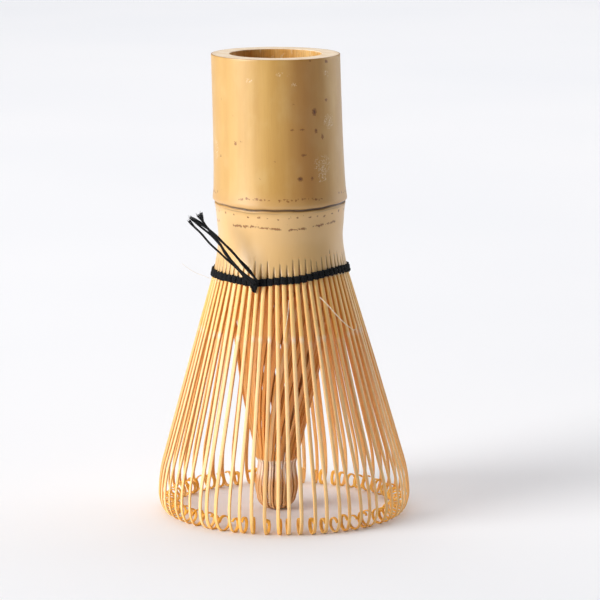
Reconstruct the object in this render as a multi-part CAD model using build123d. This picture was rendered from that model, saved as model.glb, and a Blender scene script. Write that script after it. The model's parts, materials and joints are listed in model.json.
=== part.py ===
from build123d import *
import os
from math import atan2, cos, degrees, radians, sin, tan

os.makedirs("parts", exist_ok=True)

# A bamboo tea whisk: one piece of bamboo culm whose lower wall is split into tines, bound with thread.
# It stands on the curls of its outer tines. Z is up from the surface that it stands on, and the origin
# is the middle of the ring of curls. Lengths are millimetres and angles are degrees.

# Driving dimensions of the culm, whose axis leans towards -X
TOTAL_HEIGHT = 110.0
NODE_Z = 74.6                # height of the groove under the node's ridge
NODE_X = -0.95               # how far the axis has moved at the node
UPPER_LEAN = 1.7             # lean of the culm above the node
CULM_RADIUS = 15.27          # at the cut end
CULM_MIDDLE = (15.37, 93.0)  # the skin half way up, as (radius, height)
RIDGE_FOOT = (15.7, 77.4)    # where the culm swells into the node's ridge
RIDGE_CREST = (15.95, 75.7)
GROOVE_EDGE = 15.6           # upper lip of the groove
GROOVE_FLOOR = 15.2
SHOULDER = (15.3, 72.8)      # under the groove
WAIST = (14.83, 66.8)        # the narrowest place, between the node and the tines
RIM_CHAMFER = 0.2
BORE_RADIUS = 10.8           # the culm's natural hollow
BORE_BOTTOM = 66.0           # the wall is pared thinner from here down to the lip
LIP_RADIUS = 12.9            # inner edge of the lip
DIAPHRAGM_TOP = 77.0         # the node's own floor closes the hollow between these heights
DIAPHRAGM_BOTTOM = 72.0

# Driving dimensions of the tines
TINE_COUNT = 64              # outer tines, and as many inner ones between them
OUTER_GROUPS = 16            # the culm is first split into sixteen, then each into four
INNER_GROUPS = 8
SPLIT_TOP = 63.0             # where the slits between the tines begin
SLIT_HALF_AT_BAND = 0.30     # half width of a slit just above the thread, and at the tines' roots
SLIT_HALF_AT_ROOT = 0.34
SKIRT_SLOPE = 0.185          # how fast the split wall leans out above the band
BAND_Z = 58.4                # middle of the thread band
BAND_RADIUS = 15.95          # outer face of the tines there
TINE_SLOPE = 16.0            # of an outer tine's stem, out from vertical
TINE_THICKNESS = 0.87        # at the band, thinning to the curl
CURL_THICKNESS = 0.42
SKIN_WIDTH = 1.0             # of an outer tine above its shaved length
SHAVED_WIDTH = 0.88
SHAVED_TOP = 44.6
OUTER_HINGE_Z = 56.0         # the flexing part of an outer tine starts here
INNER_HINGE_Z = 60.15
FLEX_GAP = 0.12              # between a tine's root and its flexing part
LIP_GAP = 0.32               # between the wall's lip and the inner tines, before the culm leans
WIDEST_RADIUS = 30.2         # outer faces of the tines, just above the curls
LEAD_BEND_RADIUS = 30.0      # the long bend that brings the stem upright
CURL_BEND_RADIUS = 6.8       # the bend that leads into the curl
CURL_BEND_TURN = 30.0
CURL_RADIUS = 1.95           # the curl itself
CURL_TURN = 290.0
INNER_ROOT_RADIUS = 14.2     # outer face of an inner tine at its root
INNER_NECK_RADIUS = 4.8      # where the inner tines close up
INNER_SLOPE = 10.5
INNER_TIP_Z = 2.6
INNER_SLANT = 3.0            # the inner tines lean sideways, so that the core has a twist
INNER_NECK_BEND = 20.0       # radius of the bend into the neck
INNER_HOOK = 0.55            # radius of the hook at the tip, and how far it turns
INNER_HOOK_TURN = 150.0
INNER_THICKNESS = 0.5
INNER_ROOT_WIDTH = 0.9
INNER_TIP_WIDTH = 0.30
CORE_LEAN = 1.1              # the whole core of inner tines leans towards -X as it goes down

# Driving dimensions of the thread
THREAD_DIAMETER = 0.36
THREAD_ROUNDS = 6
ROUND_PITCH = 0.37
THREAD_BEND = 0.3
THREAD_GAP = 0.04            # between the thread and the tines that it goes round
KNOT_RADIUS = 0.95
KNOT_AZIMUTH = -111.0        # from +X, so it is on the front and a little to the left
KNOT_Z = 57.1
TAIL_DIAMETER = 0.32
TAIL_COUNT = 6
TAIL_REACH = (-13.8, 0, 16.2)    # from the knot to the strands' tips
TAIL_SAG = (0.6, 0, -0.9)        # at the middle of their length
TAIL_SPREADS = [(0.02, 0.42), (0.30, 0.62), (0.62, 0.50), (1.0, 1.45)]    # (share of length, spacing)

FULL_TURN = 360.0
PITCH = FULL_TURN / TINE_COUNT
LOWER_LEAN = degrees(atan2(-NODE_X, NODE_Z))
# The height of the widest place that lets the curls just touch the surface
WIDEST_Z = CURL_RADIUS + (CURL_BEND_RADIUS - CURL_RADIUS) * sin(radians(CURL_BEND_TURN))


def around(azimuth):
    """A turn about the upright axis."""
    return Rot(0, 0, azimuth)


def leaned(shape):
    """The shape in the frame of the lower culm, whose axis leans about the origin."""
    return Rot(0, -LOWER_LEAN, 0) * shape


def leaned_about(foot, shape):
    """The shape leaned as much as the lower culm, but about its own foot."""
    return Pos(*foot) * Rot(0, -LOWER_LEAN, 0) * Pos(-foot[0], -foot[1], -foot[2]) * shape


def below(shape, height):
    return split(shape, bisect_by=Plane.XY.offset(height), keep=Keep.BOTTOM)


def save(shape, name):
    export_step(shape, f"parts/{name}.step")


def save_group(solids, name):
    save(Compound(children=solids), name)


# ---------------------------------------------------------------- the strip that a tine is
def ahead(heading):
    """Unit vector along a strip in the XZ plane. A heading of 0 is straight down, and more is outwards."""
    return Vector(sin(radians(heading)), 0, -cos(radians(heading)))


def outwards(heading):
    return Vector(cos(radians(heading)), 0, sin(radians(heading)))


def strip_face(start, heading, moves, thickness):
    """Side view of a bent strip, in the XZ plane.

    start is on the strip's outer side, and the moves follow that side. A move is either
    ("line", length, thickness at its end) or ("arc", radius, turn), where a positive turn is
    towards the axis. The strip's material lies on the inner side of the moves.
    """
    point = Vector(*start)
    outer_side = []
    inner_side = []
    inner_start = point - outwards(heading) * thickness
    inner_point = inner_start
    for move in moves:
        if move[0] == "line":
            thickness = move[2]
            next_point = point + ahead(heading) * move[1]
            next_inner = next_point - outwards(heading) * thickness
            outer_side.append(Line(point, next_point))
            inner_side.append(Line(inner_point, next_inner))
        else:
            side = 1 if move[2] > 0 else -1
            centre = point - outwards(heading) * (side * move[1])
            half = heading - move[2] / 2
            heading -= move[2]
            next_point = centre + outwards(heading) * (side * move[1])
            next_inner = next_point - outwards(heading) * thickness
            outer_side.append(ThreePointArc(point, centre + outwards(half) * (side * move[1]), next_point))
            inner_middle = centre + outwards(half) * (side * move[1] - thickness)
            inner_side.append(ThreePointArc(inner_point, inner_middle, next_inner))
        point = next_point
        inner_point = next_inner
    ends = [Line(point, inner_point), Line(inner_start, Vector(*start))]
    return Face(Wire(outer_side + inner_side + ends))


def width_mask(outline):
    """A block whose half width follows the outline's points of (half width, height)."""
    points = [(0, half, z) for half, z in outline]
    points += [(0, -half, z) for half, z in reversed(outline)]
    face = Face(Wire.make_polygon([Vector(*p) for p in points]))
    return extrude(face, amount=2 * WIDEST_RADIUS, dir=(1, 0, 0), both=True)


# ---------------------------------------------------------------- culm
def skirt_radius(z):
    """Outer face of the split wall: it leans out gently to the band, then as steeply as the stems."""
    if z >= BAND_Z:
        return BAND_RADIUS - (z - BAND_Z) * SKIRT_SLOPE
    return BAND_RADIUS + (BAND_Z - z) * tan(radians(TINE_SLOPE))


def profile_point(place):
    """A (radius, height) as a point in the XZ plane."""
    return Vector(place[0], 0, place[1])


def lower_culm():
    """From the node down to the ends of the split wall, with the slits cut."""
    lip_z = INNER_HINGE_Z + LIP_GAP
    low = OUTER_HINGE_Z - 1.0
    inner_side = Polyline(
        (0, 0, NODE_Z), (0, 0, DIAPHRAGM_BOTTOM), (BORE_RADIUS, 0, DIAPHRAGM_BOTTOM),
        (BORE_RADIUS, 0, BORE_BOTTOM), (LIP_RADIUS, 0, lip_z),
        (skirt_radius(lip_z) - TINE_THICKNESS, 0, lip_z),
        (skirt_radius(BAND_Z) - TINE_THICKNESS, 0, BAND_Z),
        (skirt_radius(low) - TINE_THICKNESS, 0, low),
        (skirt_radius(low), 0, low), (BAND_RADIUS, 0, BAND_Z), (skirt_radius(SPLIT_TOP), 0, SPLIT_TOP),
    )
    waist = ThreePointArc(inner_side @ 1, profile_point(WAIST), profile_point(SHOULDER))
    top = Polyline(waist @ 1, (GROOVE_EDGE - 0.1, 0, NODE_Z), (0, 0, NODE_Z))
    culm = revolve(Face(Wire([*inner_side.edges(), waist, *top.edges()])), Axis.Z, FULL_TURN)
    return culm - [around(PITCH * i) * slit() for i in range(TINE_COUNT)]


def slit():
    """One wedge-shaped slit, from the slits' tips down through the skirt."""
    outline = [
        (0.0, SPLIT_TOP), (SLIT_HALF_AT_BAND, BAND_Z + 1.4), (SLIT_HALF_AT_ROOT, OUTER_HINGE_Z - 2.0),
    ]
    inside = INNER_ROOT_RADIUS + 0.2
    points = [Vector(inside, half, z) for half, z in outline]
    points += [Vector(inside, -half, z) for half, z in reversed(outline[1:])]
    return extrude(Face(Wire.make_polygon(points)), amount=4.0, dir=(1, 0, 0))


def upper_culm():
    """The hollow handle above the node, with the node's ridge, cut level at the top."""
    over = TOTAL_HEIGHT + 2.0
    plug_radius = GROOVE_FLOOR - 0.8
    plug_bottom = NODE_Z - 1.6
    groove_z = NODE_Z - 0.05
    wall = ThreePointArc((CULM_RADIUS, 0, over), profile_point(CULM_MIDDLE), profile_point(RIDGE_FOOT))
    ridge = ThreePointArc(wall @ 1, profile_point(RIDGE_CREST), (GROOVE_EDGE, 0, NODE_Z + 0.25))
    rest = Polyline(
        ridge @ 1, (GROOVE_FLOOR, 0, groove_z), (plug_radius, 0, groove_z),
        (plug_radius, 0, plug_bottom), (0, 0, plug_bottom), (0, 0, DIAPHRAGM_TOP),
        (BORE_RADIUS, 0, DIAPHRAGM_TOP), (BORE_RADIUS, 0, over), (CULM_RADIUS, 0, over),
    )
    culm = revolve(Face(Wire([wall, ridge, *rest.edges()])), Axis.Z, FULL_TURN)
    placed = Pos(NODE_X, 0, NODE_Z) * Rot(0, -UPPER_LEAN, 0) * Pos(0, 0, -NODE_Z) * culm
    return below(placed, TOTAL_HEIGHT)


def handle():
    lower = split(
        leaned(lower_culm()),
        bisect_by=Plane.XY.offset(OUTER_HINGE_Z + FLEX_GAP / 2),
        keep=Keep.TOP,
    )
    whole = lower + upper_culm()
    rim = whole.edges().filter_by_position(Axis.Z, TOTAL_HEIGHT - 0.01, TOTAL_HEIGHT + 0.01)
    return chamfer(rim, RIM_CHAMFER)


# ---------------------------------------------------------------- tines
def outer_tine():
    """One outer tine at azimuth 0: a straight stem, a bend, and a curl that nearly closes."""
    bend_z = WIDEST_Z + LEAD_BEND_RADIUS * sin(radians(TINE_SLOPE))
    bend_r = WIDEST_RADIUS - LEAD_BEND_RADIUS * (1 - cos(radians(TINE_SLOPE)))
    stem_top_z = OUTER_HINGE_Z + 1.0
    stem = (stem_top_z - bend_z) / cos(radians(TINE_SLOPE))
    stem_top_r = bend_r - stem * sin(radians(TINE_SLOPE))
    face = strip_face(
        (stem_top_r, 0, stem_top_z),
        TINE_SLOPE,
        [
            ("line", stem, CURL_THICKNESS),
            ("arc", LEAD_BEND_RADIUS, TINE_SLOPE),
            ("arc", CURL_BEND_RADIUS, CURL_BEND_TURN),
            ("arc", CURL_RADIUS, CURL_TURN),
        ],
        TINE_THICKNESS,
    )
    mask = width_mask([
        (SKIN_WIDTH / 2, stem_top_z + 1.0), (SKIN_WIDTH / 2, SHAVED_TOP),
        (SHAVED_WIDTH / 2, SHAVED_TOP - 0.1), (SHAVED_WIDTH / 2, -1.0),
    ])
    return extrude(face, amount=1.0, dir=(0, 1, 0), both=True) & mask


def outer_foot():
    """Where a tine's curl meets the surface, at azimuth 0."""
    centre = WIDEST_RADIUS - CURL_BEND_RADIUS
    turned = radians(CURL_BEND_TURN)
    return centre + (CURL_BEND_RADIUS - CURL_RADIUS) * cos(turned)


def placed_outer_tine(tine, index):
    azimuth = PITCH * (index + 0.5)
    foot = (outer_foot() * cos(radians(azimuth)), outer_foot() * sin(radians(azimuth)), 0)
    top = OUTER_HINGE_Z - FLEX_GAP / 2
    return below(leaned_about(foot, around(azimuth) * tine), top)


def inner_tine():
    """One inner tine at azimuth 0: it slopes in from the lip, closes up, and ends in a small hook."""
    top_z = INNER_HINGE_Z + 1.0
    top_r = INNER_ROOT_RADIUS + tan(radians(INNER_SLOPE))
    bend_fall = INNER_NECK_BEND * sin(radians(INNER_SLOPE))
    bend_r = INNER_NECK_RADIUS + INNER_NECK_BEND * (1 - cos(radians(INNER_SLOPE)))
    stem = (top_r - bend_r) / sin(radians(INNER_SLOPE))
    neck_z = top_z - stem * cos(radians(INNER_SLOPE)) - bend_fall
    face = strip_face(
        (top_r, 0, top_z),
        -INNER_SLOPE,
        [
            ("line", stem, INNER_THICKNESS * 0.8),
            ("arc", INNER_NECK_BEND, -INNER_SLOPE),
            ("line", neck_z - INNER_TIP_Z - INNER_HOOK, INNER_THICKNESS * 0.6),
            ("arc", INNER_HOOK, INNER_HOOK_TURN),
        ],
        INNER_THICKNESS,
    )
    mask = width_mask([
        (INNER_ROOT_WIDTH / 2, top_z + 1.0), (INNER_TIP_WIDTH / 2, neck_z), (INNER_TIP_WIDTH / 2, 0.0),
    ])
    tine = extrude(face, amount=1.0, dir=(0, 1, 0), both=True) & mask
    return Rot(-INNER_SLANT, 0, 0) * Pos(0, 0, -INNER_HINGE_Z) * tine


def placed_inner_tine(tine, index):
    """The tine turned to its place in the core, which leans about the middle of its own top."""
    core_top = Pos(-tan(radians(LOWER_LEAN)) * INNER_HINGE_Z, 0, INNER_HINGE_Z)
    placed = core_top * Rot(0, CORE_LEAN, 0) * around(PITCH * index) * tine
    return below(placed, INNER_HINGE_Z - FLEX_GAP / 2)


# ---------------------------------------------------------------- thread
def thread_round(number):
    """One round of thread, woven out and in past the tines. Alternate rounds pass them the other way."""
    z = BAND_Z + (number - (THREAD_ROUNDS - 1) / 2) * ROUND_PITCH
    stand_off = THREAD_DIAMETER / 2 + THREAD_GAP
    reach = {
        True: skirt_radius(z - THREAD_DIAMETER / 2) + stand_off,
        False: skirt_radius(z + THREAD_DIAMETER / 2) - TINE_THICKNESS - stand_off,
    }
    points = []
    for gap in range(TINE_COUNT):
        goes_out = (gap + number) % 2 == 0
        for radius in (reach[not goes_out], reach[goes_out]):
            azimuth = radians(PITCH * gap)
            points.append(Vector(radius * cos(azimuth), radius * sin(azimuth), z))
    path = FilletPolyline(*points, radius=THREAD_BEND, close=True)
    start = path @ 0
    section = Plane(origin=start, z_dir=path % 0) * Circle(THREAD_DIAMETER / 2)
    return leaned(sweep(section, path=path.wire()))


def knot_centre():
    radius = skirt_radius(KNOT_Z) + THREAD_DIAMETER + 2 * THREAD_GAP + KNOT_RADIUS
    azimuth = radians(KNOT_AZIMUTH)
    return Vector(radius * cos(azimuth), radius * sin(azimuth), KNOT_Z)


def thread_knot():
    return leaned(Pos(*knot_centre()) * Sphere(KNOT_RADIUS))


def thread_tail(number):
    """One strand of the thread's cut end. Six lie side by side, then spread towards their frayed tips."""
    centre = knot_centre()
    row = number % 2 - 0.5
    column = number // 2 - 1
    along = Vector(*TAIL_REACH)
    across = Vector(along.Z, 0, -along.X).normalized()
    points = []
    for share, spread in TAIL_SPREADS:
        sag = Vector(*TAIL_SAG) * (4 * share * (1 - share))
        length = 1.0 - 0.05 * abs(column) if share == 1.0 else 1.0
        place = centre + along * (share * length) + sag + across * (column * spread)
        points.append(place + Vector(0, row * spread, 0))
    radii = []
    for i in range(1, len(points) - 1):
        before = points[i] - points[i - 1]
        after = points[i + 1] - points[i]
        turn = radians(before.get_angle(after))
        radii.append(0.45 * min(before.length, after.length) / tan(turn / 2))
    path = FilletPolyline(*points, radius=radii)
    section = Plane(origin=path @ 0, z_dir=path % 0) * Circle(TAIL_DIAMETER / 2)
    return leaned(sweep(section, path=path.wire()))


# ---------------------------------------------------------------- writing the nodes
save(handle(), "handle")

one_outer = outer_tine()
per_group = TINE_COUNT // OUTER_GROUPS
for group in range(OUTER_GROUPS):
    tines = [placed_outer_tine(one_outer, group * per_group + i) for i in range(per_group)]
    save_group(tines, f"outer_tines_{group + 1:02d}")

one_inner = inner_tine()
per_group = TINE_COUNT // INNER_GROUPS
for group in range(INNER_GROUPS):
    tines = [placed_inner_tine(one_inner, group * per_group + i) for i in range(per_group)]
    save_group(tines, f"inner_tines_{group + 1:02d}")

for number in range(THREAD_ROUNDS):
    save(thread_round(number), f"thread_round_{number + 1}")
save(thread_knot(), "thread_knot")
for number in range(TAIL_COUNT):
    save(thread_tail(number), f"thread_tail_{number + 1}")
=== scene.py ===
import json
import random
from math import atan2, cos, degrees, pi, radians, sin, tan

import bpy
import numpy as np
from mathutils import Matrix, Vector


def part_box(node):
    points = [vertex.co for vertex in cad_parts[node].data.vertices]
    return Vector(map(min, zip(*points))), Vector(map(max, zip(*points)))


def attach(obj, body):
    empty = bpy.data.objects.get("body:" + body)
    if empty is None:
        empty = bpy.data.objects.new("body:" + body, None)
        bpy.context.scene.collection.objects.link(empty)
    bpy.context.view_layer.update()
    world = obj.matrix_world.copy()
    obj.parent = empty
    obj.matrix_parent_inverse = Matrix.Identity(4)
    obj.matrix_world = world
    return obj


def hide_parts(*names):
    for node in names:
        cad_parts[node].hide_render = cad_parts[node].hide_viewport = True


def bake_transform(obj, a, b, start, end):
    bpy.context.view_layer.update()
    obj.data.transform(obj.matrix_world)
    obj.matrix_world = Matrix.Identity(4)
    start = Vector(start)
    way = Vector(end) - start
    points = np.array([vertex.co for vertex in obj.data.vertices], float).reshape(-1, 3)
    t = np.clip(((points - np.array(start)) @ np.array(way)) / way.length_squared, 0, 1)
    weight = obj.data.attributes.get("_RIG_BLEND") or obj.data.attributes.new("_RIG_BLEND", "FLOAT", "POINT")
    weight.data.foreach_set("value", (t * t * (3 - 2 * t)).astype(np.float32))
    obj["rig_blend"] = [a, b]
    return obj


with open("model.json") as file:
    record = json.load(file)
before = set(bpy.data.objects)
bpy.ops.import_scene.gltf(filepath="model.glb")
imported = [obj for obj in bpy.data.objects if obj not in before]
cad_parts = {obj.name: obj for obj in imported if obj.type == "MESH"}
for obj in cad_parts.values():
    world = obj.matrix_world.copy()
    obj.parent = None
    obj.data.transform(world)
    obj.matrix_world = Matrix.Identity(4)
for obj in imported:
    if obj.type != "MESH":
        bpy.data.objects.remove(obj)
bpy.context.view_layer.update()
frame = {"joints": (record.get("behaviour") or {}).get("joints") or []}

# Lengths below are millimetres and angles are degrees. Meshes are scaled to metres as they are made.
MM = 0.001
TINES = 64
PITCH = 360.0 / TINES
OUTER_GROUPS = 16
INNER_GROUPS = 8

# The culm: its axis leans towards -X, a little more above the node
TOP_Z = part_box("handle")[1].z / MM
NODE_Z = 74.6
NODE_X = -0.95
UPPER_LEAN = 1.7
BORE_RADIUS = 10.8
DIAPHRAGM_TOP = 77.0
DIAPHRAGM_BOTTOM = 72.0
STUB_END_Z = 58.3  # under the thread, the culm's stubs hand over to the outer tines
OUTER_FACE = [  # (height, radius) of the culm's skin, and of the tines down to the thread
    (111.0, 15.26), (100.0, 15.3), (90.0, 15.4), (82.0, 15.58), (78.0, 15.76), (76.4, 15.9),
    (75.5, 15.97), (75.0, 15.84), (74.72, 15.42), (74.5, 15.34), (74.2, 15.56), (73.8, 15.5),
    (72.6, 15.3), (70.0, 15.08), (66.8, 14.83), (64.6, 14.95), (62.5, 15.22), (60.0, 15.65),
    (58.4, 15.95), (56.0, 16.61),
]

# An outer tine, followed along its outer face
TINE_SLOPE = 16.0
TINE_WIDTH = 1.03
TINE_THICKNESS = 0.87
CURL_THICKNESS = 0.36
SHAVED_TOP = 44.6
WIDEST_RADIUS = 30.2
LEAD_BEND_RADIUS = 30.0
CURL_BEND_RADIUS = 6.8
CURL_BEND_TURN = 30.0
CURL_RADIUS = 1.95
WIDEST_Z = CURL_RADIUS + (CURL_BEND_RADIUS - CURL_RADIUS) * sin(radians(CURL_BEND_TURN))

# An inner tine: (height, radius of its outer face)
INNER_FACE = [
    (63.6, 14.35), (61.0, 14.15), (57.0, 13.6), (50.0, 12.3), (40.0, 10.4), (32.0, 9.0),
    (25.0, 7.55), (19.6, 6.35), (15.0, 5.45), (12.8, 5.15), (12.3, 4.8), (9.4, 4.65),
    (7.0, 4.95), (5.0, 5.0), (3.2, 4.6),
]
INNER_WIDTH = [  # (height, width)
    (63.6, 0.8), (60.5, 0.95), (57.0, 1.16), (50.0, 1.14), (40.0, 1.02), (32.0, 0.92),
    (25.0, 0.8), (20.0, 0.7), (12.8, 0.58), (12.2, 0.46), (9.0, 0.46), (3.2, 0.46),
]
INNER_TWIST = 0.95  # degrees of azimuth for each millimetre down
INNER_PALE_Z = 12.6  # below this the inner tines are shaved thin and pale
INNER_ROOT_Z = 60.15
CORE_LEAN = 1.1 + degrees(atan2(-NODE_X, NODE_Z))  # of the core, against the culm's own axis

# The thread band's middle height by azimuth: it dips at the knot and rides up on the front right
BAND = [
    (-180.0, 57.95), (-135.0, 58.0), (-111.0, 57.6), (-90.0, 58.2), (-75.0, 58.4), (-60.0, 59.0),
    (-45.0, 59.4), (-30.0, 59.5), (0.0, 58.9), (60.0, 58.5), (120.0, 58.3), (180.0, 57.95),
]
THREAD_ROUNDS = 6
ROUND_PITCH = 0.2664  # closer than in the frame, as the doubled strands take up more room
THREAD_RADIUS = 0.2
UP = np.array([0.0, 0.0, 1.0])
ROUND_RADIUS = THREAD_RADIUS * 1.15
TAIL_RADIUS = THREAD_RADIUS * 1.35
KNOT_THREAD_RADIUS = 0.26
KNOT_AZIMUTH = -111.0

rng = random.Random(11)


# ---------------------------------------------------------------- small geometry helpers
def smooth_through(points, x):
    """Value at x of a smooth curve through points of (x, value), which run either way."""
    points = sorted(points)
    xs = np.array([p[0] for p in points])
    ys = np.array([p[1] for p in points])
    slopes = np.gradient(ys, xs)
    x = np.clip(np.asarray(x, float), xs[0], xs[-1])
    i = np.clip(np.searchsorted(xs, x) - 1, 0, len(xs) - 2)
    h = xs[i + 1] - xs[i]
    t = (x - xs[i]) / h
    return (
        ys[i] * (1 + 2 * t) * (1 - t) ** 2 + slopes[i] * h * t * (1 - t) ** 2
        + ys[i + 1] * t * t * (3 - 2 * t) + slopes[i + 1] * h * t * t * (t - 1)
    )


def smoothstep(low, high, x):
    t = np.clip((np.asarray(x, float) - low) / (high - low), 0.0, 1.0)
    return t * t * (3 - 2 * t)


def axis_x(z):
    """How far the leaning axis has moved along X at height z."""
    z = np.asarray(z, float)
    above = np.maximum(z - NODE_Z, 0.0)
    return NODE_X * np.minimum(z, NODE_Z) / NODE_Z - above * tan(radians(UPPER_LEAN))


def band_z(azimuth):
    return smooth_through(BAND, (np.asarray(azimuth, float) + 180.0) % 360.0 - 180.0)


def arc_between(azimuth, at, radius):
    """Length along the skin from the azimuth at, signed, the short way round."""
    return ((azimuth - at + 180.0) % 360.0 - 180.0) * radius * pi / 180.0


def radial_and_sideways(azimuth):
    """Unit vectors away from the axis and along the skin."""
    turn = radians(azimuth)
    return np.array([cos(turn), sin(turn), 0.0]), np.array([-sin(turn), cos(turn), 0.0])


def ripple(azimuth, z, seed, scale):
    """Gentle unevenness without a seam: a few sine waves round the culm that drift along it."""
    waves = random.Random(seed)
    total = np.zeros(np.broadcast(azimuth, z).shape)
    for order in range(1, 6):
        phase = waves.uniform(0, 2 * pi)
        drift = waves.uniform(-scale, scale)
        wave = np.sin(np.radians(azimuth) * order + phase + z * drift)
        total = total + waves.uniform(0.4, 1.0) / order * wave
    return total / 2.2


def new_piece(name, points, faces, material, attributes=None, face_materials=None, sharp=35.0):
    """A mesh object from points in millimetres, with float or vector attributes on its points."""
    mesh = bpy.data.meshes.new(name)
    mesh.from_pydata((np.asarray(points, float) * MM).tolist(), [], faces)
    materials = material if isinstance(material, list) else [material]
    for item in materials:
        mesh.materials.append(item)
    if face_materials is not None:
        mesh.polygons.foreach_set("material_index", face_materials)
    for key, values in (attributes or {}).items():
        values = np.asarray(values, np.float32)
        if values.ndim == 2:
            mesh.attributes.new(key, "FLOAT_VECTOR", "POINT").data.foreach_set("vector", values.ravel())
        else:
            mesh.attributes.new(key, "FLOAT", "POINT").data.foreach_set("value", values)
    mesh.polygons.foreach_set("use_smooth", [True] * len(mesh.polygons))
    mesh.set_sharp_from_angle(angle=radians(sharp))
    mesh.update()
    piece = bpy.data.objects.new(name, mesh)
    bpy.context.scene.collection.objects.link(piece)
    return piece


class Builder:
    """Gathers rings of points into one mesh, with the attributes that the materials read."""

    def __init__(self):
        self.points = []
        self.faces = []
        self.attributes = {}

    def add(self, points, faces, **attributes):
        start = len(self.points)
        self.points.extend(np.asarray(points, float).tolist())
        self.faces.extend([[start + i for i in face] for face in faces])
        for key, values in attributes.items():
            self.attributes.setdefault(key, []).extend(np.asarray(values, float).tolist())

    def piece(self, name, material, sharp=35.0):
        return new_piece(name, self.points, self.faces, material, self.attributes, sharp=sharp)


def ring_faces(rows, around, closed=False):
    """Quads of a tube of rows rings, with flat caps unless it is closed end to end."""
    faces = []
    for row in range(rows if closed else rows - 1):
        a = row * around
        b = (row + 1) % rows * around
        for i in range(around):
            j = (i + 1) % around
            faces.append([a + i, b + i, b + j, a + j])
    if not closed:
        faces.append(list(range(around)))
        faces.append(list(range((rows - 1) * around, rows * around))[::-1])
    return faces


def frames_along(path, closed=False):
    """Tangent and two cross directions at each point of a path, carried along without twisting."""
    path = np.asarray(path, float)
    ahead = np.roll(path, -1, 0) - np.roll(path, 1, 0)
    if not closed:
        ahead[0] = path[1] - path[0]
        ahead[-1] = path[-1] - path[-2]
    ahead /= np.linalg.norm(ahead, axis=1)[:, None]
    side = np.cross(ahead[0], (0.0, 0.0, 1.0))
    if np.linalg.norm(side) < 1e-3:
        side = np.cross(ahead[0], (1.0, 0.0, 0.0))
    sides = []
    for direction in ahead:
        side = side - direction * np.dot(side, direction)
        side /= np.linalg.norm(side)
        sides.append(side)
    sides = np.array(sides)
    return ahead, sides, np.cross(ahead, sides)


def tube(path, radii, around=6, closed=False):
    """Points and faces of a round tube along a path."""
    ahead, side, other = frames_along(path, closed)
    angles = np.arange(around) * 2 * pi / around
    radii = np.broadcast_to(np.asarray(radii, float), (len(path),))
    ring = side[:, None] * np.cos(angles)[None, :, None] + other[:, None] * np.sin(angles)[None, :, None]
    points = np.asarray(path)[:, None] + ring * radii[:, None, None]
    return points.reshape(-1, 3), ring_faces(len(path), around, closed)


def along_curve(points, count):
    """count evenly spaced points on a smooth curve through a few points."""
    points = np.asarray(points, float)
    steps = np.linalg.norm(np.diff(points, axis=0), axis=1)
    places = np.concatenate([[0], np.cumsum(steps)])
    t = np.linspace(0, places[-1], count)
    return np.stack([smooth_through(list(zip(places, points[:, k])), t) for k in range(3)], axis=1)


def yarn(builder, path, radius, turn_length, plies=2, closed=False, taper=None, fray=None):
    """A twisted thread along a path: plies that wind round each other, which fray can spread apart."""
    path = np.asarray(path, float)
    ahead, side, other = frames_along(path, closed)
    steps = np.linalg.norm(np.diff(path, axis=0), axis=1)
    along = np.concatenate([[0], np.cumsum(steps)])
    turns = along / turn_length
    if closed:
        turns = turns * round(turns[-1]) / turns[-1]
    spread = np.ones(len(path)) if fray is None else fray
    thick = np.ones(len(path)) if taper is None else taper
    for ply in range(plies):
        angle = 2 * pi * (turns + ply / plies)
        offset = (radius * 0.48) * spread[:, None]
        line = path + offset * (side * np.cos(angle)[:, None] + other * np.sin(angle)[:, None])
        points, faces = tube(line, radius * 0.56 * thick, 6, closed)
        lengthwise = np.repeat(along, 6)
        builder.add(points, faces, fibre=np.stack([lengthwise, np.tile(np.arange(6.0), len(path)),
                                                   np.full(len(lengthwise), ply * 5.0)], axis=1))


# ---------------------------------------------------------------- materials
def node_tree(name):
    material = bpy.data.materials.new(name)
    material.use_nodes = True
    tree = material.node_tree
    tree.nodes.clear()
    output = tree.nodes.new("ShaderNodeOutputMaterial")
    shader = tree.nodes.new("ShaderNodeBsdfPrincipled")
    tree.links.new(shader.outputs[0], output.inputs[0])
    return material, tree, shader


def colour(code):
    """Linear colour from an sRGB hex code."""
    values = [int(code[i:i + 2], 16) / 255 for i in (0, 2, 4)]
    return tuple(v / 12.92 if v <= 0.04045 else ((v + 0.055) / 1.055) ** 2.4 for v in values) + (1.0,)


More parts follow.
